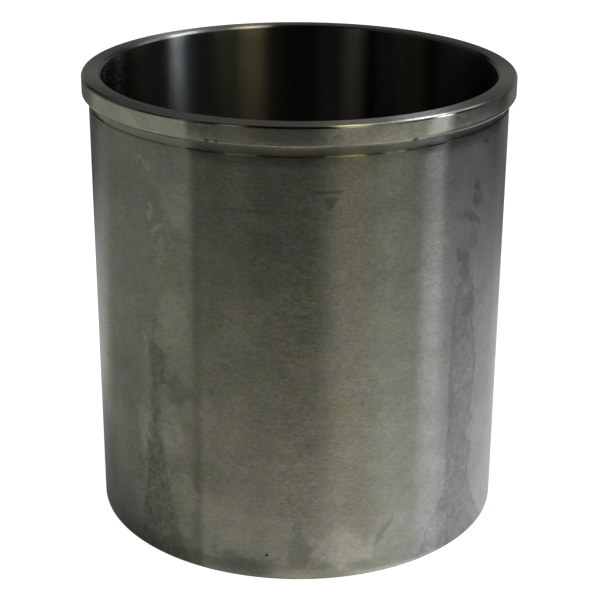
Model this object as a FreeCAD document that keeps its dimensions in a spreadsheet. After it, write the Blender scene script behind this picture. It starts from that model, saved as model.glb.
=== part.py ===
import FreeCAD, Part
import Sketcher
import os

# Flanged cylinder liner: one turned sleeve, standing on its lower end.
# Frame: origin on the axis in the plane of the lower end, +Z up the bore
# axis, flange at the top.  All lengths are millimetres.

os.makedirs("parts", exist_ok=True)
doc = FreeCAD.newDocument("cylinder_liner")

# ---------------------------------------------------------------- sizes
sheet = doc.addObject("Spreadsheet::Sheet", "Dimensions")
sheet.Label = "Dimensions"
SIZES = [
    # alias, value, what it is
    ("overall_length", "117.5", "lower end to top face"),
    ("bore_diameter", "100.0", "finished bore"),
    ("barrel_diameter", "106.5", "ground outside of the sleeve"),
    ("flange_diameter", "109.8", "outside of the top flange"),
    ("flange_thickness", "5.3", "top face to the seat under the flange"),
    ("relief_diameter", "105.9", "neck turned under the flange"),
    ("relief_width", "2.2", "straight part of the neck, along the axis"),
    ("relief_overrun", "0.4", "how far the neck tool runs past the barrel"),
    ("relief_corner", "0.2", "radius between neck and seat"),
    ("mouth_chamfer", "0.6", "45 degree break of the bore at the top face"),
    ("rim_radius", "0.8", "rounding of the flange's upper outer edge"),
    ("seat_chamfer", "0.55", "45 degree break of the flange's lower edge"),
    ("foot_chamfer", "0.5", "45 degree break of the barrel's lower edge"),
    ("foot_bore_chamfer", "0.6", "45 degree break of the bore at the foot"),
]
sheet.set("A1", "dimension")
sheet.set("B1", "millimetres")
sheet.set("C1", "meaning")
for i, (alias, value, note) in enumerate(SIZES):
    row = i + 2
    sheet.set("A%d" % row, alias)
    sheet.set("B%d" % row, value)
    sheet.set("C%d" % row, note)
    sheet.setAlias("B%d" % row, alias)
doc.recompute()


def size(alias):
    return float(getattr(sheet, alias))


def origin_item(body, role):
    for item in body.Origin.OriginFeatures:
        if item.Role == role:
            return item
    raise RuntimeError("no origin item " + role)


def radial_sketch(body, name, points, radii, heights):
    """Closed polygon in the plane through the axis.

    points   (radius, height) start values, in order round the profile
    radii    point index -> expression for its distance from the axis
    heights  point index -> expression for its height over the lower end
    """
    sk = body.newObject("Sketcher::SketchObject", name)
    sk.AttachmentSupport = (origin_item(body, "XZ_Plane"), [""])
    sk.MapMode = "FlatFace"
    n = len(points)
    for k in range(n):
        a, b = points[k], points[(k + 1) % n]
        sk.addGeometry(Part.LineSegment(FreeCAD.Vector(a[0], a[1], 0),
                                        FreeCAD.Vector(b[0], b[1], 0)), False)
    for k in range(n):
        sk.addConstraint(Sketcher.Constraint("Coincident", k, 2, (k + 1) % n, 1))
    for k in range(n):
        c = sk.addConstraint(Sketcher.Constraint("DistanceX", -1, 1, k, 1, points[k][0]))
        sk.renameConstraint(c, "radius_%d" % k)
        sk.setExpression("Constraints.radius_%d" % k, radii[k])
        if abs(points[k][1]) < 1e-9:
            # this corner lies on the lower end, the sketch's own axis
            sk.addConstraint(Sketcher.Constraint("PointOnObject", k, 1, -1))
        else:
            c = sk.addConstraint(Sketcher.Constraint("DistanceY", -1, 1, k, 1, points[k][1]))
            sk.renameConstraint(c, "height_%d" % k)
            sk.setExpression("Constraints.height_%d" % k, heights[k])
    return sk


def ring_edges(shape, radius, height):
    """Names of the circular edges of one radius at one height."""
    found = []
    for k, edge in enumerate(shape.Edges):
        curve = edge.Curve
        if not isinstance(curve, Part.Circle):
            continue
        if abs(curve.Radius - radius) < 1e-4 and abs(curve.Center.z - height) < 1e-4:
            found.append("Edge%d" % (k + 1))
    if not found:
        raise RuntimeError("no edge of radius %.3f at %.3f" % (radius, height))
    return found


L = size("overall_length")
RB = size("bore_diameter") / 2
RO = size("barrel_diameter") / 2
RF = size("flange_diameter") / 2
RN = size("relief_diameter") / 2
TF = size("flange_thickness")
WN = size("relief_width")
OV = size("relief_overrun")

liner = doc.addObject("PartDesign::Body", "liner")
liner.Label = "liner"

# ------------------------------------------------- barrel, a plain tube
barrel_profile = radial_sketch(
    liner, "barrel_profile",
    [(RB, 0.0), (RO, 0.0), (RO, L), (RB, L)],
    {0: "Dimensions.bore_diameter / 2", 1: "Dimensions.barrel_diameter / 2",
     2: "Dimensions.barrel_diameter / 2", 3: "Dimensions.bore_diameter / 2"},
    {2: "Dimensions.overall_length", 3: "Dimensions.overall_length"})
barrel = liner.newObject("PartDesign::Revolution", "barrel")
barrel.Profile = barrel_profile
barrel.ReferenceAxis = (barrel_profile, ["V_Axis"])
barrel.Angle = 360.0
doc.recompute()
barrel_volume = barrel.Shape.Volume

# ------------------------------------------------ flange round the top
# its section starts at mid wall, so that it runs into the barrel
flange_profile = radial_sketch(
    liner, "flange_profile",
    [((RB + RO) / 2, L - TF), (RF, L - TF), (RF, L), ((RB + RO) / 2, L)],
    {0: "(Dimensions.bore_diameter + Dimensions.barrel_diameter) / 4",
     1: "Dimensions.flange_diameter / 2", 2: "Dimensions.flange_diameter / 2",
     3: "(Dimensions.bore_diameter + Dimensions.barrel_diameter) / 4"},
    {0: "Dimensions.overall_length - Dimensions.flange_thickness",
     1: "Dimensions.overall_length - Dimensions.flange_thickness",
     2: "Dimensions.overall_length", 3: "Dimensions.overall_length"})
flange = liner.newObject("PartDesign::Revolution", "flange")
flange.Profile = flange_profile
flange.ReferenceAxis = (flange_profile, ["V_Axis"])
flange.Angle = 360.0
flange.Refine = True
doc.recompute()
flange_volume = flange.Shape.Volume
if flange_volume <= barrel_volume:
    raise RuntimeError("the flange added nothing")

# -------------------------------- neck under the flange (grinding relief)
# straight neck, and a 45 degree flank that climbs back out to the barrel
relief_profile = radial_sketch(
    liner, "relief_profile",
    [(RN, L - TF - WN), (RO + OV, L - TF - WN - (RO + OV - RN)),
     (RO + OV, L - TF), (RN, L - TF)],
    {0: "Dimensions.relief_diameter / 2",
     1: "Dimensions.barrel_diameter / 2 + Dimensions.relief_overrun",
     2: "Dimensions.barrel_diameter / 2 + Dimensions.relief_overrun",
     3: "Dimensions.relief_diameter / 2"},
    {0: "Dimensions.overall_length - Dimensions.flange_thickness - Dimensions.relief_width",
     1: "Dimensions.overall_length - Dimensions.flange_thickness - Dimensions.relief_width"
        " - (Dimensions.barrel_diameter / 2 + Dimensions.relief_overrun"
        " - Dimensions.relief_diameter / 2)",
     2: "Dimensions.overall_length - Dimensions.flange_thickness",
     3: "Dimensions.overall_length - Dimensions.flange_thickness"})
relief = liner.newObject("PartDesign::Groove", "relief")
relief.Profile = relief_profile
relief.ReferenceAxis = (relief_profile, ["V_Axis"])
relief.Angle = 360.0
doc.recompute()
relief_volume = relief.Shape.Volume
if relief_volume >= flange_volume - 1.0:
    raise RuntimeError("the relief cut nothing")

# --------------------------------------------------------- edge breaks
neck_corner = liner.newObject("PartDesign::Fillet", "neck_corner")
neck_corner.Base = (relief, ring_edges(relief.Shape, RN, L - TF))
neck_corner.Radius = size("relief_corner")
neck_corner.setExpression("Radius", "Dimensions.relief_corner")
doc.recompute()

rim_rounding = liner.newObject("PartDesign::Fillet", "rim_rounding")
rim_rounding.Base = (neck_corner, ring_edges(neck_corner.Shape, RF, L))
rim_rounding.Radius = size("rim_radius")
rim_rounding.setExpression("Radius", "Dimensions.rim_radius")
doc.recompute()

base = rim_rounding
for name, radius, height, alias in (
        ("seat_edge_break", RF, L - TF, "seat_chamfer"),
        ("bore_mouth_break", RB, L, "mouth_chamfer"),
        ("foot_edge_break", RO, 0.0, "foot_chamfer"),
        ("foot_bore_break", RB, 0.0, "foot_bore_chamfer")):
    step = liner.newObject("PartDesign::Chamfer", name)
    step.Base = (base, ring_edges(base.Shape, radius, height))
    step.Size = size(alias)
    step.setExpression("Size", "Dimensions." + alias)
    doc.recompute()
    if step.Shape.Volume >= base.Shape.Volume:
        raise RuntimeError(name + " removed nothing")
    base = step
liner.Tip = base
liner.Placement = FreeCAD.Placement()
doc.recompute()

# -------------------------------------------------------------- checks
for obj in doc.Objects:
    bad = [s for s in obj.State if s in ("Invalid", "Error")]
    if bad:
        raise RuntimeError("%s: %s" % (obj.Name, bad))
shape = liner.Shape
if shape.isNull() or not shape.isValid() or len(shape.Solids) != 1:
    raise RuntimeError("liner: shape is null, invalid or not one solid")
box = shape.BoundBox
print("liner box %.3f %.3f %.3f to %.3f %.3f %.3f" % (
    box.XMin, box.YMin, box.ZMin, box.XMax, box.YMax, box.ZMax))
print("volume %.1f mm3, faces %d" % (shape.Volume, len(shape.Faces)))
for sk in (barrel_profile, flange_profile, relief_profile):
    print(sk.Name, "degrees of freedom left:", sk.solve(), sk.FullyConstrained)

shape.exportStep(os.path.join("parts", "liner.step"))
print("wrote parts/liner.step")
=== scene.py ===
import math

import bpy
from mathutils import Matrix, Vector


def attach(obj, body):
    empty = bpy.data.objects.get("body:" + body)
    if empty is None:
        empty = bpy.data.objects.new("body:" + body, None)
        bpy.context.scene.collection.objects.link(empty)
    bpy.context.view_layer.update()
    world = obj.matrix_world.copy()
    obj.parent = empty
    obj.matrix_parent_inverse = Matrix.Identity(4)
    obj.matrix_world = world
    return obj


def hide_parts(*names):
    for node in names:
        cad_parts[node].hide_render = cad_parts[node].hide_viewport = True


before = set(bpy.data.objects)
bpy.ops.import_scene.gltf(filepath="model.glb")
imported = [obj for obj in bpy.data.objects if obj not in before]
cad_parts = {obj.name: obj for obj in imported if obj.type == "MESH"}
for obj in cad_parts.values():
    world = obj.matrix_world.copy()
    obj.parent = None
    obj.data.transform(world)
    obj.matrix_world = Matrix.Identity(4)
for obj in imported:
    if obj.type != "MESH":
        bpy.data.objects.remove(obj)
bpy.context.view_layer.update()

# ---------------------------------------------------------------- sizes, mm
LENGTH = 117.5      # foot to top face
R_BORE = 50.0
R_BARREL = 53.25
R_FLANGE = 54.9
R_NECK = 52.95
Z_SEAT = 112.2      # underside of the flange
Z_NECK = 110.0      # lower end of the straight neck

scene = bpy.context.scene


# ================================================================ the sleeve
def rounded(profile):
    """Closed (radius, height) polygon with a small radius at each corner.

    profile: (radius, height, corner radius, steps, slot of the next side)
    Returns points with the material slot of the side that follows each.
    """
    out = []
    n = len(profile)
    for i in range(n):
        r, z, c, steps, slot = profile[i]
        p = Vector((r, z))
        a = Vector(profile[i - 1][:2])
        b = Vector(profile[(i + 1) % n][:2])
        slot_in = profile[i - 1][4]
        if c <= 0.0:
            out.append((p.x, p.y, slot))
            continue
        da, db = (a - p).normalized(), (b - p).normalized()
        half = math.acos(max(-1.0, min(1.0, da.dot(db)))) / 2.0
        reach = c / math.tan(half)
        reach = min(reach, 0.45 * (a - p).length, 0.45 * (b - p).length)
        c = reach * math.tan(half)
        centre = p + (da + db).normalized() * (c / math.sin(half))
        t0, t1 = p + da * reach, p + db * reach
        a0 = math.atan2(t0.y - centre.y, t0.x - centre.x)
        a1 = math.atan2(t1.y - centre.y, t1.x - centre.x)
        turn = (a1 - a0 + math.pi) % (2 * math.pi) - math.pi
        for k in range(steps + 1):
            t = a0 + turn * k / steps
            keep = slot if k >= steps / 2 else slot_in
            out.append((centre.x + c * math.cos(t), centre.y + c * math.sin(t), keep))
    return out


# which finish each side of the section has
BARREL, RIM, FACE, MOUTH, BORE, FOOT, NECK, EDGE = range(8)
PROFILE = [
    (50.60, 0.0, 0.10, 3, FOOT),
    (52.75, 0.0, 0.10, 3, RIM),
    (53.25, 0.5, 0.15, 4, BARREL),
    (53.25, 109.7, 0.05, 2, EDGE),
    (52.95, 110.0, 0.05, 2, NECK),
    (52.95, 112.2, 0.20, 5, RIM),
    (54.35, 112.2, 0.10, 3, RIM),
    (54.90, 112.75, 0.25, 5, RIM),
    (54.90, 117.5, 0.80, 14, FACE),
    (50.60, 117.5, 0.10, 3, MOUTH),
    (50.00, 116.9, 0.12, 3, BORE),
    (50.00, 0.6, 0.12, 3, MOUTH),
]
SEGMENTS = 480


def lathe(name, points, segments, long_step=3.0):
    """Turns the closed section round Z.  UV runs round and along the section."""
    pts = []
    for i, (r, z, slot) in enumerate(points):
        r2, z2, _ = points[(i + 1) % len(points)]
        run = math.hypot(r2 - r, z2 - z)
        cut = max(1, int(math.ceil(run / long_step)))
        for k in range(cut):
            f = k / cut
            pts.append((r + (r2 - r) * f, z + (z2 - z) * f, slot))
    n = len(pts)
    verts, faces, slots = [], [], []
    for j in range(segments):
        t = 2 * math.pi * j / segments
        s, c = math.sin(t), -math.cos(t)
        for r, z, _ in pts:
            verts.append((r * s / 1000.0, r * c / 1000.0, z / 1000.0))
    for j in range(segments):
        k = (j + 1) % segments
        for i in range(n):
            m = (i + 1) % n
            faces.append((j * n + i, k * n + i, k * n + m, j * n + m))
            slots.append(pts[i][2])
    mesh = bpy.data.meshes.new(name)
    mesh.from_pydata(verts, [], faces)
    mesh.polygons.foreach_set("material_index", slots)
    mesh.polygons.foreach_set("use_smooth", [True] * len(faces))
    run = [0.0]
    for i in range(n):
        a, b = pts[i], pts[(i + 1) % n]
        run.append(run[-1] + math.hypot(b[0] - a[0], b[1] - a[1]))
    uv = mesh.uv_layers.new(name="round_and_along")
    data = []
    for j in range(segments):
        for i in range(n):
            u0, u1 = j / segments, (j + 1) / segments
            v0, v1 = run[i] / run[-1], run[i + 1] / run[-1]
            data += [u0, v0, u1, v0, u1, v1, u0, v1]
    uv.data.foreach_set("uv", data)
    mesh.update()
    obj = bpy.data.objects.new(name, mesh)
    scene.collection.objects.link(obj)
    return obj


# ================================================================ node helpers
class Tree:
    def __init__(self, tree):
        self.tree = tree
        tree.nodes.clear()

    def node(self, kind, **props):
        n = self.tree.nodes.new(kind)
        for k, v in props.items():
            setattr(n, k, v)
        return n

    def put(self, socket, value):
        if isinstance(value, bpy.types.NodeSocket):
            self.tree.links.new(value, socket)
        elif value is not None:
            socket.default_value = value

    def math(self, op, a, b=None, c=None, clamp=False):
        n = self.node("ShaderNodeMath", operation=op, use_clamp=clamp)
        self.put(n.inputs[0], a)
        self.put(n.inputs[1], b)
        self.put(n.inputs[2], c)
        return n.outputs[0]

    def add(self, a, b): return self.math("ADD", a, b)
    def sub(self, a, b): return self.math("SUBTRACT", a, b)
    def mul(self, a, b): return self.math("MULTIPLY", a, b)

    def product(self, *items):
        out = items[0]
        for i in items[1:]:
            out = self.mul(out, i)
        return out

    def ramp(self, v, a, b, lo=0.0, hi=1.0):
        """lo below a, hi above b, smooth between; works with a above b too."""
        n = self.node("ShaderNodeMapRange", interpolation_type="SMOOTHSTEP")
        if a > b:
            a, b, lo, hi = b, a, hi, lo
        self.put(n.inputs["Value"], v)
        self.put(n.inputs["From Min"], a)
        self.put(n.inputs["From Max"], b)
        self.put(n.inputs["To Min"], lo)
        self.put(n.inputs["To Max"], hi)
        return n.outputs["Result"]

    def window(self, v, a, b, soft_a, soft_b=None):
        """1 between a and b, falling to 0 over soft_a below and soft_b above."""
        soft_b = soft_a if soft_b is None else soft_b
        up = self.ramp(v, a - soft_a / 2, a + soft_a / 2)
        down = self.ramp(v, b + soft_b / 2, b - soft_b / 2)
        return self.mul(up, down)

    def curve(self, v, points):
        """Smooth curve through given (input, output) points, 0..1 each."""
        n = self.node("ShaderNodeFloatCurve")
        cm = n.mapping
        c = cm.curves[0]
        while len(c.points) > 2:
            c.points.remove(c.points[1])
        c.points[0].location = points[0]
        c.points[-1].location = points[-1]
        for p in points[1:-1]:
            c.points.new(*p)
        for p in c.points:
            p.handle_type = "AUTO_CLAMPED"
        cm.extend = "HORIZONTAL"
        cm.update()
        self.put(n.inputs["Value"], v)
        return n.outputs["Value"]

    def vector(self, x, y, z):
        n = self.node("ShaderNodeCombineXYZ")
        for s, v in zip(n.inputs, (x, y, z)):
            self.put(s, v)
        return n.outputs[0]

    def noise(self, vec, scale, detail=2.0, rough=0.5, distortion=0.0, colour=False):
        n = self.node("ShaderNodeTexNoise", noise_dimensions="3D")
        self.put(n.inputs["Vector"], vec)
        self.put(n.inputs["Scale"], scale)
        self.put(n.inputs["Detail"], detail)
        self.put(n.inputs["Roughness"], rough)
        self.put(n.inputs["Distortion"], distortion)
        return n.outputs["Color" if colour else "Fac"]

    def mix(self, fac, a, b, blend="MIX"):
        n = self.node("ShaderNodeMix", data_type="RGBA", blend_type=blend)
        n.clamp_factor = True
        self.put(n.inputs[0], fac)
        self.put(n.inputs[6], a)
        self.put(n.inputs[7], b)
        return n.outputs[2]

    def scaled(self, colour, tone):
        """A colour times a number."""
        n = self.node("ShaderNodeVectorMath", operation="SCALE")
        self.put(n.inputs[0], colour)
        self.put(n.inputs["Scale"], tone)
        return n.outputs[0]

    def lerp(self, fac, a, b):
        n = self.node("ShaderNodeMix", data_type="FLOAT")
        n.clamp_factor = True
        self.put(n.inputs[0], fac)
        self.put(n.inputs[2], a)
        self.put(n.inputs[3], b)
        return n.outputs[0]


def rgb(r, g, b):
    return (r, g, b, 1.0)


def material(name):
    m = bpy.data.materials.new(name)
    m.use_nodes = True
    t = Tree(m.node_tree)
    out = t.node("ShaderNodeOutputMaterial")
    bsdf = t.node("ShaderNodeBsdfPrincipled")
    t.tree.links.new(bsdf.outputs[0], out.inputs["Surface"])
    return m, t, bsdf


def turned_coords(t):
    """Object position in mm, angle round the axis in degrees (0 at -Y,
    positive towards +X) and depth under the top face in mm."""
    tc = t.node("ShaderNodeTexCoord")
    mm = t.node("ShaderNodeVectorMath", operation="SCALE")
    t.put(mm.inputs[0], tc.outputs["Object"])
    mm.inputs["Scale"].default_value = 1000.0
    sep = t.node("ShaderNodeSeparateXYZ")
    t.put(sep.inputs[0], mm.outputs[0])
    x, y, z = sep.outputs
    ang = t.mul(t.math("ARCTAN2", x, t.mul(y, -1.0)), 180.0 / math.pi)
    depth = t.sub(LENGTH, z)
    return {"mm": mm.outputs[0], "x": x, "y": y, "z": z, "ang": ang, "depth": depth}


def tangent(t, bsdf, anisotropic, rotation):
    tan = t.node("ShaderNodeTangent", direction_type="RADIAL", axis="Z")
    t.put(bsdf.inputs["Tangent"], tan.outputs[0])
    bsdf.inputs["Anisotropic"].default_value = anisotropic
    bsdf.inputs["Anisotropic Rotation"].default_value = rotation


def grain_vector(t, c, across, along, offset=0.0):
    """Object space in mm, scaled so that a noise of scale 1 has features of
    'across' mm round the axis and 'along' mm up it.  No seam at the back."""
    n = t.node("ShaderNodeVectorMath", operation="MULTIPLY_ADD")
    t.put(n.inputs[0], c["mm"])
    n.inputs[1].default_value = (1.0 / across, 1.0 / across, 1.0 / along)
    n.inputs[2].default_value = (offset, offset * 0.7, offset * 1.3)
    return n.outputs[0]


def centred(t, v, gain):
    """Noise factor made to swing about zero."""
    return t.math("MULTIPLY_ADD", v, gain, -0.5 * gain)


def iron(t, c, base, olive=0.5, grain=1.0, mottle=1.0, calm=None):
    """Turned grey iron: one colour carried by fine turning grain, speckle,
    clouding from one to ten millimetres and an olive to lilac-grey tint.
    calm: mask of where the iron is cleaner, greyer and more even.
    Returns (colour, grain, speckle, cloud)."""
    fine = t.noise(grain_vector(t, c, 1.5, 0.5, 3.1), 1.0, 2.0, 0.7)
    speck = t.noise(grain_vector(t, c, 0.55, 0.42, 11.7), 1.0, 1.0, 0.7)
    cloud = t.noise(grain_vector(t, c, 11.0, 8.0, 41.0), 1.0, 5.0, 0.72)
    tint = t.noise(grain_vector(t, c, 6.5, 3.6, 23.0), 1.0, 4.0, 0.60)
    grit = t.add(centred(t, fine, 0.60 * grain), centred(t, speck, 0.46 * grain))
    if calm is not None:
        grit = t.mul(grit, t.math("MULTIPLY_ADD", calm, -0.42, 1.12))
    tone = t.add(t.add(1.0, grit), centred(t, cloud, 0.74 * mottle))
    warm = t.mix(t.ramp(tint, 0.32, 0.68),
                 rgb(base[0] * 1.01, base[1] * 0.985, base[2] * (1 + 0.06 * olive)),
                 rgb(base[0] * 0.99, base[1] * 1.01, base[2] * (1 - 0.20 * olive)))
    if calm is not None:
        warm = t.mix(t.mul(calm, 0.7), warm, rgb(base[0] * 0.99, base[1], base[2] * 1.03))
    return t.scaled(warm, tone), fine, speck, cloud


def bump(t, bsdf, height, microns):
    n = t.node("ShaderNodeBump")
    n.inputs["Strength"].default_value = 1.0
    n.inputs["Distance"].default_value = microns * 1e-6
    t.put(n.inputs["Height"], height)
    t.put(bsdf.inputs["Normal"], n.outputs[0])
    return n


class Marks:
    """Marks on the turned surface.  Each is a place in degrees round and mm
    down, with its own half sizes, and multiplies the tone by 1 - amount
    inside; a negative amount is a paler place."""

    def __init__(self, t, c):
        self.t, self.c = t, c
        w = t.noise(grain_vector(t, c, 5.0, 4.0, 5.0), 1.0, 4.0, 0.72, colour=True)
        shift = t.node("ShaderNodeVectorMath", operation="MULTIPLY_ADD")
        t.put(shift.inputs[0], w)
        shift.inputs[1].default_value = (13.0, 11.0, 0.0)
        shift.inputs[2].default_value = (-6.5, -5.5, 0.0)
        self.plain = t.vector(c["ang"], c["depth"], 0.0)
        ragged = t.node("ShaderNodeVectorMath", operation="ADD")
        t.put(ragged.inputs[0], self.plain)
        t.put(ragged.inputs[1], shift.outputs[0])
        self.ragged = ragged.outputs[0]
        near = t.node("ShaderNodeVectorMath", operation="MULTIPLY_ADD")
        t.put(near.inputs[0], shift.outputs[0])
        near.inputs[1].default_value = (0.35, 0.35, 0.0)
        t.put(near.inputs[2], self.plain)
        self.near = near.outputs[0]
        fray = t.node("ShaderNodeSeparateXYZ")
        t.put(fray.inputs[0], shift.outputs[0])
        self.fray_a, self.fray_z = fray.outputs[0], fray.outputs[1]
        self.k = None

    def times(self, factor):
        self.k = factor if self.k is None else self.t.mul(self.k, factor)

    def inside(self, a0, z0, ra, rz, lean=0.0, exact=False):
        """0 at the centre, 1 at the edge.  lean turns the oval, degrees.
        exact: True for a clean outline, None for a slightly ragged one."""
        t = self.t
        v = {True: self.plain, False: self.ragged, None: self.near}[exact]
        if lean:
            r = t.node("ShaderNodeVectorRotate", rotation_type="Z_AXIS")
            t.put(r.inputs["Vector"], v)
            r.inputs["Center"].default_value = (a0, z0, 0.0)
            r.inputs["Angle"].default_value = math.radians(lean)
            v = r.outputs[0]
        n = t.node("ShaderNodeVectorMath", operation="MULTIPLY_ADD")
        t.put(n.inputs[0], v)
        n.inputs[1].default_value = (1.0 / ra, 1.0 / rz, 0.0)
        n.inputs[2].default_value = (-a0 / ra, -z0 / rz, 0.0)
        d = t.node("ShaderNodeVectorMath", operation="LENGTH")
        t.put(d.inputs[0], n.outputs[0])
        return d.outputs["Value"]

    def spot(self, a0, z0, ra, rz, amount, soft=0.4, lean=0.0, exact=False):
        d = self.inside(a0, z0, ra, rz, lean, exact)
        self.times(self.t.ramp(d, 1.0 - soft / 2, 1.0 + soft / 2, 1.0 - amount, 1.0))

    def mask(self, a0, z0, ra, rz, soft=0.4, lean=0.0, exact=False):
        d = self.inside(a0, z0, ra, rz, lean, exact)
        return self.t.ramp(d, 1.0 + soft / 2, 1.0 - soft / 2)

    def area(self, mask, amount):
        self.times(self.t.math("MULTIPLY_ADD", mask, -amount, 1.0))

    def column(self, left, right, lo, hi, fray=0.6):
        """Distance in degrees (about mm) inside a run-off mark whose edges
        are curves of angle against depth, ragged by 'fray'."""
        t = self.t
        zf = t.mul(self.c["depth"], 1.0 / LENGTH)
        edges = []
        for pts in (left, right):
            v = t.curve(zf, [(z / LENGTH, (a - lo) / (hi - lo)) for z, a in pts])
            edges.append(t.math("MULTIPLY_ADD", v, hi - lo, lo))
        d = t.math("MINIMUM", t.sub(self.c["ang"], edges[0]), t.sub(edges[1], self.c["ang"]))
        return t.add(d, t.mul(self.fray_a, fray))


def barrel_material():
    m, t, b = material("ground_iron")
    c = turned_coords(t)
    calm = t.math("MAXIMUM", t.window(c["ang"], 26.0, 120.0, 44.0, 40.0),
                  t.math("MULTIPLY", t.ramp(c["depth"], 94.0, 110.0), 0.75))
    colour, fine, speck, cloud = iron(t, c, (0.47, 0.47, 0.405), olive=0.8, calm=calm)
    k = Marks(t, c)
    blot = t.noise(grain_vector(t, c, 2.0, 2.0, 61.0), 1.0, 2.0, 0.6)
    fleck = t.noise(grain_vector(t, c, 1.1, 0.9, 67.0), 1.0, 3.0, 0.7)

    # --- run-off stain right of the middle, in islands at its upper end
    body = k.column([(0, 60), (46.0, 56.0), (48.0, 47.5), (50.0, 44.6), (98.0, 44.2), (101.0, 43.6), (103.0, 41.8), (106.0, 40.0), (110.0, 38.0), (117.5, 34.0)],
                    [(0, 50), (46.0, 52.0), (50.0, 54.8), (56.0, 55.2), (62.0, 56.0), (68.0, 57.8), (74.0, 57.2), (80.0, 56.2), (84.0, 56.4),
                     (87.0, 53.6), (89.0, 55.0), (92.0, 57.8), (98.0, 56.0), (104.0, 57.8), (109.0, 60.6), (117.5, 68.0)], 30, 70, 0.45)
    isles = None
    for a0, z0, ra, rz, dark in ((53.7, 20.6, 1.5, 1.5, 1.0), (53.7, 24.3, 2.1, 2.2, 0.75), (52.6, 28.9, 3.6, 1.2, 0.7), (48.6, 27.8, 2.0, 0.9, 0.5),
                                 (49.3, 37.6, 3.0, 2.3, 0.65), (49.8, 42.4, 2.4, 3.4, 0.6), (52.6, 33.4, 2.2, 1.6, 0.45), (47.2, 46.4, 2.5, 1.7, 0.5), (52.1, 46.2, 2.2, 2.0, 0.55),
                                 (52.7, 51.5, 2.4, 2.8, 0.5)):
        one = t.mul(k.mask(a0, z0, ra, rz, 0.5, exact=None if dark > 0.7 else False), dark)
        isles = one if isles is None else t.math("MAXIMUM", isles, one)
    k.area(isles, 0.46)
    body_in = t.ramp(body, 0.0, 0.5)
    stain_r = t.math("MAXIMUM", body_in, isles)
    k.area(body_in, 0.07)
    k.area(t.mul(t.ramp(body, 0.0, 0.4), t.ramp(body, 2.0, 0.9)), 0.07)
    k.area(t.mul(body_in, t.ramp(blot, 0.56, 0.36)), 0.13)
    k.area(t.mul(body_in, t.ramp(fleck, 0.50, 0.66)), -0.20)
    for a0, z0, ra, rz in ((48.4, 71.0, 2.0, 1.7), (49.8, 75.0, 1.8, 1.2), (53.6, 69.4, 0.9, 1.2), (47.6, 92.8, 0.9, 1.2), (47.0, 56.0, 1.2, 1.4)):
        k.spot(a0, z0, ra, rz, -0.12, 0.8)
    # --- run-off stain on the left, lower half
    left = k.column([(0, -30), (56.0, -37.0), (59.0, -42.2), (66.0, -43.2), (74.0, -43.2), (80.0, -43.6), (90.0, -45.4), (100.0, -46.6), (117.5, -50.0)],
                    [(0, -50), (56.0, -45.0), (59.0, -39.8), (62.5, -37.2), (67.0, -37.2), (70.5, -38.8), (82.0, -39.3), (88.0, -38.2), (100.0, -36.0), (117.5, -30.0)], -60, -20, 0.4)
    left_in = t.ramp(left, -0.9, 1.5)
    k.area(left_in, 0.13)
    k.area(t.mul(left_in, t.ramp(blot, 0.60, 0.40)), 0.20)
    k.area(t.mul(t.product(t.ramp(c["depth"], 84.0, 94.0), t.window(c["ang"], -50.0, -34.0, 8.0)), t.ramp(fleck, 0.54, 0.38)), 0.24)
    k.spot(-41.2, 54.0, 1.0, 2.8, 0.16)
    # --- blot with a short neck, near the foot
    drop = t.math("MAXIMUM", k.mask(0.8, 109.4, 3.3, 4.6, 0.3, exact=None), k.mask(0.2, 103.6, 1.2, 3.0, 0.5, exact=None))
    k.area(drop, 0.18)
    # --- scuffs under the neck
    tick = t.product(t.ramp(c["depth"], 17.0, 17.6), t.ramp(c["depth"], 21.4, 20.6),
                     t.ramp(t.math("MULTIPLY_ADD", c["depth"], 0.83, c["ang"]), 24.9, 24.2),
                     t.ramp(t.math("MULTIPLY_ADD", c["depth"], -0.32, c["ang"]), 0.3, 1.0))
    k.area(tick, 0.36)
    k.area(t.product(t.window(c["depth"], 15.7, 16.2, 0.6), t.ramp(c["ang"], 0.0, 7.0), t.ramp(c["ang"], 10.9, 10.3)), 0.50)
    k.area(t.product(t.window(c["depth"], 20.4, 21.1, 0.8), t.window(c["ang"], -19.0, -5.0, 7.0)), 0.22)
    k.area(t.product(t.window(c["depth"], 18.8, 19.4, 0.7), t.window(c["ang"], -13.0, -5.0, 5.0)), 0.18)
    k.spot(-8.1, 110.6, 0.42, 0.36, 0.85, 0.3, exact=True)
    # --- slanting streak at the lower right
    k.spot(23.7, 106.0, 0.95, 4.6, 0.25, 0.9, lean=-39.0, exact=None)
    k.spot(27.0, 111.4, 2.4, 1.9, 0.13, 0.7)
    # --- grime along the foot, heaviest at the left; the darker lower left is also painted shade for a darker reflection
    low = t.add(c["depth"], t.mul(k.fray_z, 0.9))
    k.area(t.product(t.ramp(low, 109.0, 115.0), t.ramp(c["ang"], 6.0, -14.0), t.ramp(c["ang"], -176.0, -130.0)), 0.38)
    k.area(t.mul(t.ramp(low, 112.5, 116.0), t.window(c["ang"], 4.0, 60.0, 6.0)), 0.13)
    # painted shade: darker patch at the lower left, standing in for a darker reflection
    k.spot(-57.0, 114.0, 16.0, 10.0, 0.26, 1.0)
    slope = t.math("MULTIPLY_ADD", c["ang"], -0.82, low)
    # painted shade: slanting dark wedge at the lower left, partly grime, standing in for a darker reflection
    k.area(t.mul(t.ramp(slope, 131.0, 153.0), t.window(c["ang"], -98.0, -58.0, 26.0, 30.0)), 0.46)
    # painted shade: darker patch at the upper left under the neck, standing in for a darker reflection
    k.spot(-78.0, 8.0, 20.0, 16.0, 0.12, 1.2)
    k.spot(-17.0, 114.0, 9.0, 2.6, 0.22, 0.8)
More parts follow.
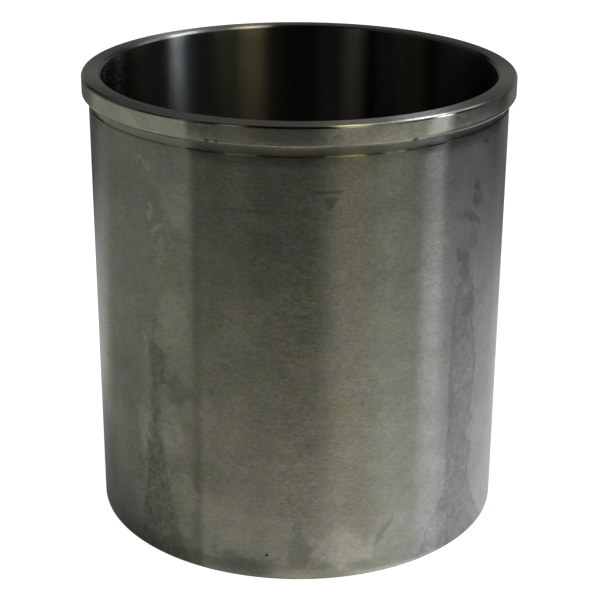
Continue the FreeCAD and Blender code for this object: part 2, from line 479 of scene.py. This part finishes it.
    # --- smudges at the upper right
    k.spot(57.3, 11.3, 1.9, 0.8, 0.50, 0.5)
    k.spot(46.5, 27.0, 2.6, 2.2, 0.12, 0.8)
    k.spot(47.0, 12.0, 3.0, 3.0, 0.08, 1.0)
    # painted shade: dims the bright strip just under the flange, where the flange shades it
    k.spot(36.0, 7.8, 4.2, 1.3, 0.60, 1.4, exact=True)
    # --- paler, handled places
    k.spot(11.5, 109.0, 8.0, 5.6, -0.40, 0.9)
    # painted shade, not a paler place: darkens the bright strip towards the flange
    k.spot(37.0, 12.0, 6.5, 17.0, 0.24, 1.3)
    # the lower corner is paler along a stretch: partly rubbed wear, partly a painted highlight for the light line the
    # foot chamfer catches
    k.area(t.product(t.ramp(c["depth"], 115.9, 116.6), t.window(c["ang"], 13.0, 44.0, 8.0)), -0.34)
    k.spot(29.0, 106.0, 6.0, 5.0, -0.07, 0.9)
    k.spot(-14.0, 103.5, 11.0, 4.5, -0.10, 0.9)
    k.spot(-14.0, 50.0, 6.0, 6.0, -0.12, 1.0)
    k.spot(-32.0, 22.5, 4.5, 5.5, -0.22, 0.7)
    k.spot(-38.2, 33.5, 2.2, 3.8, -0.20, 0.6)
    k.spot(-34.5, 52.0, 5.0, 7.5, -0.20, 0.9)
    k.spot(-35.6, 82.0, 3.8, 5.4, -0.24, 0.9)
    k.spot(-33.0, 70.0, 4.4, 3.8, 0.16, 0.7)
    k.spot(-30.3, 97.0, 2.2, 4.4, -0.20, 0.7)
    k.spot(-46.8, 86.0, 1.6, 8.5, -0.24, 0.9)
    k.spot(-43.4, 60.0, 0.9, 5.0, -0.16, 0.9)
    k.spot(-43.0, 13.6, 3.8, 0.8, -0.22, 0.8, lean=8.0)
    k.spot(-41.2, 24.6, 0.55, 2.8, -0.30, 0.6, exact=None)
    k.spot(-38.8, 28.4, 0.7, 2.8, -0.26, 0.6, lean=-58.0, exact=None)
    # --- darker clouds on the left half
    k.spot(-50.0, 22.0, 9.0, 7.0, 0.10, 1.0)
    k.spot(-64.0, 14.0, 8.0, 14.0, 0.18, 1.2)
    k.spot(-34.0, 70.0, 5.0, 4.5, 0.12, 0.8)
    k.spot(-56.0, 73.0, 8.0, 9.0, 0.12, 1.0)
    k.spot(-24.0, 91.0, 5.0, 5.0, 0.12, 0.9)
    k.spot(-9.0, 33.0, 9.0, 8.0, 0.08, 1.0)
    # --- the same kinds of mark round the back
    b1 = t.add(t.math("MINIMUM", t.sub(c["ang"], 131.0), t.sub(141.0, c["ang"])), t.mul(k.fray_a, 0.9))
    b1 = t.mul(t.ramp(b1, 0.0, 0.7), t.ramp(low, 24.0, 34.0))
    b2 = t.add(t.math("MINIMUM", t.sub(c["ang"], -128.0), t.sub(-122.0, c["ang"])), t.mul(k.fray_a, 0.9))
    b2 = t.mul(t.ramp(b2, 0.0, 0.7), t.ramp(low, 50.0, 60.0))
    k.area(b1, 0.18)
    k.area(b2, 0.16)
    k.area(t.mul(b1, t.ramp(blot, 0.50, 0.62)), -0.12)
    k.spot(-104.0, 78.0, 10.0, 14.0, -0.14, 1.0)
    k.spot(105.0, 40.0, 9.0, 10.0, -0.12, 1.0)
    k.spot(160.0, 96.0, 12.0, 9.0, -0.14, 1.0)
    k.spot(-158.0, 30.0, 9.0, 6.0, 0.12, 1.0)

    # darker just under the neck, lighter towards the foot
    fade = t.ramp(c["depth"], 5.0, 100.0, 0.82, 1.06)
    tone = t.mul(k.k, fade)
    stain = t.math("MAXIMUM", t.math("MAXIMUM", stain_r, left_in), drop)
    colour = t.scaled(colour, tone)
    colour = t.mix(t.mul(stain, 0.5), colour, t.mix(1.0, colour, rgb(0.985, 1.0, 1.045), "MULTIPLY"))
    t.put(b.inputs["Base Color"], colour)
    b.inputs["Metallic"].default_value = 1.0
    t.put(b.inputs["Roughness"], t.add(t.add(0.20, centred(t, speck, 0.08)), t.mul(stain, 0.04)))
    tangent(t, b, 1.0, 0.25)
    bump(t, b, t.add(fine, t.mul(speck, 0.8)), 2.5)
    return m


def turned_material(name, base, rough, microns, grain=0.6, olive=0.5, mottle=0.7, dirt_and_shade=(), specks_and_painted_light=(), uneven=0.08):
    """dirt_and_shade: (from, to, soft edge, amount) in degrees round, for a darker
    stretch of the ring: grime, and on the neck also painted shade under the flange.
    specks_and_painted_light: (angle, depth, half width in degrees, half height in mm,
    amount), small marks, among them a painted highlight.  uneven: swing of the roughness."""
    m, t, b = material(name)
    c = turned_coords(t)
    colour, fine, speck, cloud = iron(t, c, base, olive=olive, grain=grain, mottle=mottle)
    for a0, a1, soft, amount in dirt_and_shade:
        colour = t.scaled(colour, t.math("MULTIPLY_ADD", t.window(c["ang"], a0, a1, soft), -amount, 1.0))
    if specks_and_painted_light:
        k = Marks(t, c)
        for a0, z0, ra, rz, amount in specks_and_painted_light:
            k.spot(a0, z0, ra, rz, amount, 0.6, exact=rz < 1.0)
        colour = t.scaled(colour, k.k)
    t.put(b.inputs["Base Color"], colour)
    b.inputs["Metallic"].default_value = 1.0
    t.put(b.inputs["Roughness"], t.add(rough, centred(t, speck, uneven)))
    tangent(t, b, 1.0, 0.25)
    bump(t, b, t.add(fine, t.mul(speck, 0.6)), microns)
    return m


def edge_material():
    """The sloping edge between the neck and the barrel: bright where it is
    clean; elsewhere a dull dark fill, partly grime and partly painted shade in the groove."""
    m, t, b = material("relief_edge")
    c = turned_coords(t)
    colour, fine, speck, cloud = iron(t, c, (0.78, 0.77, 0.66), olive=0.6, grain=0.6)
    blot = t.noise(grain_vector(t, c, 3.2, 3.2, 77.0), 1.0, 2.0, 0.6)
    clean = None
    for a0, a1, share in ((-62.0, -29.0, 1.0), (-18.6, -9.8, 0.7), (6.2, 16.5, 1.0), (21.0, 27.4, 0.75), (78.0, 112.0, 0.8), (134.0, 171.0, 1.0),
                          (-168.0, -141.0, 0.8), (-110.0, -72.0, 0.7)):
        one = t.mul(t.window(c["ang"], a0, a1, 1.6), share)
        clean = one if clean is None else t.math("MAXIMUM", clean, one)
    clean = t.mul(clean, t.ramp(blot, 0.36, 0.46, 0.55, 1.0))
    # the dark fill is partly grime and partly painted shade in the groove under the flange
    grime_and_groove_shade = t.mix(t.ramp(blot, 0.4, 0.6), rgb(0.20, 0.20, 0.175), rgb(0.27, 0.27, 0.23))
    # painted shade: darker still from 33.5 to 39.5 degrees, where the flange shades the bright strip
    grime_and_groove_shade = t.scaled(grime_and_groove_shade, t.math("MULTIPLY_ADD", t.window(c["ang"], 33.5, 39.5, 2.5), -0.76, 1.0))
    t.put(b.inputs["Base Color"], t.mix(clean, grime_and_groove_shade, colour))
    b.inputs["Metallic"].default_value = 1.0
    t.put(b.inputs["Roughness"], t.add(t.lerp(clean, 0.62, 0.19), centred(t, speck, 0.06)))
    tangent(t, b, 1.0, 0.25)
    bump(t, b, t.add(fine, t.mul(speck, 0.8)), 1.5)
    return m


# grime caught on the flange: specks along its lower edge, smudges on its wall; the paler stretch at -38 degrees on
# the lower edge is partly edge wear, partly a painted highlight
RIM_SPECKS_AND_SHEEN = (
    (-22.3, 4.5, 0.55, 0.40, 0.65), (-19.8, 4.45, 0.50, 0.34, 0.60), (28.8, 4.9, 0.75, 0.45, 0.80), (-4.5, 4.7, 0.35, 0.25, 0.40),
    (33.0, 5.1, 0.8, 0.25, 0.45), (48.0, 4.75, 16.0, 0.70, 0.52), (-38.0, 5.0, 13.0, 0.42, -0.50), (9.0, 3.2, 4.2, 1.1, 0.16), (-26.0, 2.4, 3.6, 1.3, 0.15), (-9.0, 2.8, 3.0, 1.2, 0.12),
    (-47.0, 2.8, 3.4, 1.2, -0.14), (44.0, 3.2, 2.4, 1.2, 0.18), (62.0, 2.6, 4.0, 1.4, 0.12), (120.0, 3.0, 5.0, 1.3, 0.14),
    (-120.0, 2.6, 4.0, 1.2, 0.14), (166.0, 3.0, 4.0, 1.1, 0.12),
)

liner = lathe("liner_finished", rounded(PROFILE), SEGMENTS)
for m in (
    barrel_material(),
    turned_material("turned_rim", (0.62, 0.62, 0.525), 0.17, 1.0, mottle=1.0, specks_and_painted_light=RIM_SPECKS_AND_SHEEN),
    turned_material("faced_top", (0.66, 0.66, 0.615), 0.26, 0.4, grain=0.42, uneven=0.02),
    turned_material("mouth_chamfer", (0.30, 0.30, 0.29), 0.21, 0.5, uneven=0.03),
    turned_material("smooth_bore", (0.34, 0.34, 0.33), 0.24, 1.5, dirt_and_shade=((149.5, 158.5, 6.0, 0.78),)),
    turned_material("faced_foot", (0.42, 0.42, 0.38), 0.28, 1.5),
    # neck: the darker stretch from 33.5 to 66 degrees is painted shade where the flange shades the neck; the other
    # dark stretches and the specks are grime
    turned_material("neck_relief", (0.46, 0.46, 0.40), 0.25, 2.0,
                    dirt_and_shade=((-27.0, 104.0, 8.0, 0.36), (4.0, 23.0, 8.0, 0.24), (33.5, 66.0, 5.0, 0.46), (134.0, 171.0, 14.0, 0.35)),
                    specks_and_painted_light=((36.0, 7.4, 4.5, 0.5, 0.45), (52.0, 7.4, 9.0, 0.3, 0.45))),
    edge_material(),
):
    liner.data.materials.append(m)
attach(liner, "root")
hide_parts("liner")

# ================================================================ floor
bpy.ops.mesh.primitive_circle_add(vertices=96, radius=3.0, fill_type="NGON", location=(0, 0, 0))
floor = bpy.context.active_object
floor.name = "studio_floor"
fm, ft, fb = material("pale_floor")
fb.inputs["Base Color"].default_value = rgb(0.55, 0.55, 0.55)
fb.inputs["Roughness"].default_value = 1.0
fb.inputs["Specular IOR Level"].default_value = 0.0
fb.inputs["Emission Color"].default_value = rgb(1, 1, 1)
fb.inputs["Emission Strength"].default_value = 1.0
floor.data.materials.append(fm)
floor.visible_glossy = False
floor.visible_shadow = False

# A black disc on the floor inside the foot, a painted shadow standing in
# # for the shade under the bore, seen only in the bore's own reflections.
bpy.ops.mesh.primitive_circle_add(vertices=96, radius=0.0495, fill_type="NGON", location=(0, 0, 0.0002))
shade = bpy.context.active_object
shade.name = "bore_shade"
sm, st, sb = material("bore_shade_black")
sb.inputs["Base Color"].default_value = rgb(0.0, 0.0, 0.0)
sb.inputs["Roughness"].default_value = 1.0
sb.inputs["Specular IOR Level"].default_value = 0.0
shade.data.materials.append(sm)
shade.visible_camera = False

# ================================================================ surroundings
# A white studio to the eye.  What the metal mirrors is a ring of large soft
# panels and dark flags; azimuth 0 is -Y and grows towards +X, elevation up.
world = bpy.data.worlds.new("studio")
scene.world = world
world.use_nodes = True
wt = Tree(world.node_tree)
bg = wt.node("ShaderNodeBackground")
white = wt.node("ShaderNodeBackground")
white.inputs[0].default_value = rgb(1, 1, 1)
wo = wt.node("ShaderNodeOutputWorld")
wc = wt.node("ShaderNodeTexCoord")
ws = wt.node("ShaderNodeSeparateXYZ")
wt.put(ws.inputs[0], wc.outputs["Generated"])
w_az = wt.mul(wt.math("ARCTAN2", ws.outputs[0], wt.mul(ws.outputs[1], -1.0)), 180.0 / math.pi)
w_el = wt.mul(wt.math("ARCSINE", ws.outputs[2]), 180.0 / math.pi)

# from, to, soft edge at each end
SECTORS = {
    "back_left": (-196, -136, 10, 20),
    "rear_left": (-136, -103, 20, 16),
    "left": (-103, -59, 16, 2),
    "front_left": (-59, -20, 2, 30),
    "seam_left": (-59, -53, 2, 12),
    "front": (-20, 15, 30, 20),
    "front_right": (15, 44, 20, 20),
    "near_right": (44, 71, 20, 7),
    "strip": (71, 83, 7, 7),
    "right": (83, 140, 7, 16),
    "back_right": (140, 171, 16, 26),
    "back": (150, 212, 14, 14),
    "high_strip": (76, 85, 4, 4),
    "warm": (22, 38, 8, 8),
    "warm_side": (42, 54, 6, 6),
    "dim_left": (-42, -30, 8, 8),
    "far_left": (-68, -58, 6, 6),
    "window": (107, 118, 3, 4),
    "skylight": (140, 148, 3, 3),
    "window_side": (112, 128, 6, 8),
    "lamp": (48, 79, 10, 8),
    "over_right": (58, 150, 14, 30),
    "over_back": (150, 215, 30, 24),
    "over_left": (-150, -62, 24, 20),
    "back_rim": (104, 160, 12, 20),
    "back_rim_left": (-140, -96, 20, 12),
}
HEIGHTS = {
    "nadir": (-95, -58, 1, 12),
    "below": (-95, -6, 1, 14),
    "table": (-58, -30, 12, 7),
    "table_near": (-58, -36, 12, 8),
    "wall": (-30, -2, 7, 14),
    "glow": (-25.5, -19, 2, 3),
    "table_far": (-58, -20.4, 12, 4),
    "wall_far": (-20, -2, 4, 14),
    "above": (-2, 16, 14, 12),
    "over_rim": (6, 40, 6, 14),
    "high": (47, 60, 4, 5),
    "overhead": (65, 78, 4, 4),
    "low_sky": (0, 30, 10, 12),
    "sill": (30, 44, 6, 6),
    "at_rim": (6, 24, 6, 8),
    "ceiling": (33, 82, 10, 6),
}
PANELS = [
    (None, None, (0.002, 0.002, 0.003)),
    (None, "below", (0.02, 0.02, 0.02)),
    (None, "nadir", (0.05, 0.05, 0.05)),
    ("rear_left", "table", (0.05, 0.05, 0.04)),
    ("left", "table", (0.17, 0.16, 0.135)),
    ("back_left", "table", (0.17, 0.17, 0.155)),
    ("front_left", "table", (0.52, 0.51, 0.46)),
    ("front", "table_near", (1.15, 1.12, 1.02)),
    ("front_right", "table", (0.70, 0.69, 0.67)),
    ("near_right", "table", (0.91, 0.90, 0.91)),
    ("strip", "table", (0.84, 0.84, 0.92)),
    ("right", "table_far", (0.69, 0.71, 0.79)),
    ("back_right", "table_far", (0.70, 0.71, 0.755)),
    ("back_left", "wall", (0.08, 0.08, 0.075)),
    ("back_left", "glow", (0.46, 0.46, 0.47)),
    ("rear_left", "wall", (0.24, 0.24, 0.23)),
    ("left", "wall", (0.26, 0.26, 0.25)),
    ("front_left", "wall", (0.047, 0.047, 0.043)),
    ("seam_left", "glow", (0.20, 0.20, 0.19)),
    ("seam_left", "table", (0.16, 0.16, 0.145)),
    ("front_right", "wall", (0.18, 0.18, 0.156)),
    ("near_right", "wall", (0.235, 0.235, 0.222)),
    ("strip", "wall", (0.54, 0.55, 0.61)),
    ("right", "wall_far", (0.012, 0.012, 0.012)),
    ("back_right", "wall_far", (0.14, 0.14, 0.135)),
    ("back", "above", (0.135, 0.135, 0.13)),
    ("high_strip", "at_rim", (4.2, 4.5, 5.1)),
    ("warm", "over_rim", (0.70, 0.63, 0.30)),
    ("warm_side", "over_rim", (0.26, 0.27, 0.17)),
    ("dim_left", "over_rim", (0.26, 0.25, 0.20)),
    ("far_left", "over_rim", (0.09, 0.09, 0.08)),
    ("window", "high", (8.5, 8.9, 9.6)),
    ("skylight", "high", (6.0, 6.2, 6.6)),
    ("window_side", "sill", (0.7, 0.7, 0.72)),
    ("lamp", "overhead", (4.8, 4.5, 3.5)),
    ("over_right", "ceiling", (0.34, 0.34, 0.34)),
    ("over_back", "ceiling", (0.12, 0.12, 0.12)),
    ("over_left", "ceiling", (0.045, 0.045, 0.043)),
    ("back_rim", "low_sky", (0.085, 0.085, 0.085)),
    ("back_rim_left", "low_sky", (0.06, 0.06, 0.055)),
]
windows = {}


def side_window(name):
    if name not in windows:
        a0, a1, s0, s1 = SECTORS[name]
        mid = (a0 + a1) / 2.0
        away = wt.math("WRAP", wt.sub(w_az, mid), 180.0, -180.0)
        windows[name] = wt.window(away, a0 - mid, a1 - mid, s0, s1)
    return windows[name]


def height_window(name):
    if name not in windows:
        windows[name] = wt.window(w_el, *HEIGHTS[name])
    return windows[name]


panel_nodes = {}
total = None
for side, height, colour in PANELS:
    scale = wt.node("ShaderNodeVectorMath", operation="SCALE")
    scale.inputs[0].default_value = colour
    share = 1.0
    if side and height:
        share = wt.mul(side_window(side), height_window(height))
    elif height:
        share = height_window(height)
    wt.put(scale.inputs["Scale"], share)
    panel_nodes["%s/%s" % (side, height)] = scale
    if total is None:
        total = scale.outputs[0]
    else:
        plus = wt.node("ShaderNodeVectorMath", operation="ADD")
        wt.put(plus.inputs[0], total)
        wt.put(plus.inputs[1], scale.outputs[0])
        total = plus.outputs[0]
wt.put(bg.inputs[0], total)
wl = wt.node("ShaderNodeLightPath")
wm = wt.node("ShaderNodeMixShader")
wt.put(wm.inputs[0], wl.outputs["Is Camera Ray"])
wt.put(wm.inputs[1], bg.outputs[0])
wt.put(wm.inputs[2], white.outputs[0])
wt.put(wo.inputs[0], wm.outputs[0])

# ================================================================ camera
cam_data = bpy.data.cameras.new("camera")
cam = bpy.data.objects.new("camera", cam_data)
scene.collection.objects.link(cam)
scene.camera = cam
cam_data.sensor_width = 36.0
F_PX, CAM_D, CAM_H, PITCH, YAW, ROLL = 1591.86, 395.749, 95.973, 0.38305, 0.00124, 0.00541
cam_data.lens = F_PX / 600.0 * 36.0
cp, sp, cy, sy = math.cos(PITCH), math.sin(PITCH), math.cos(YAW), math.sin(YAW)
fwd = Vector((sy * cp, cy * cp, -sp))
right = Vector((cy, -sy, 0.0))
up = right.cross(fwd)
r2 = right * math.cos(ROLL) + up * math.sin(ROLL)
u2 = up * math.cos(ROLL) - right * math.sin(ROLL)
rot = Matrix((r2, u2, -fwd)).transposed().to_4x4()
cam.matrix_world = Matrix.Translation(Vector((0.0, -CAM_D / 1000.0, (LENGTH + CAM_H) / 1000.0))) @ rot
cam_data.clip_start, cam_data.clip_end = 0.01, 20.0

scene.view_settings.view_transform = "Standard"
scene.view_settings.look = "None"
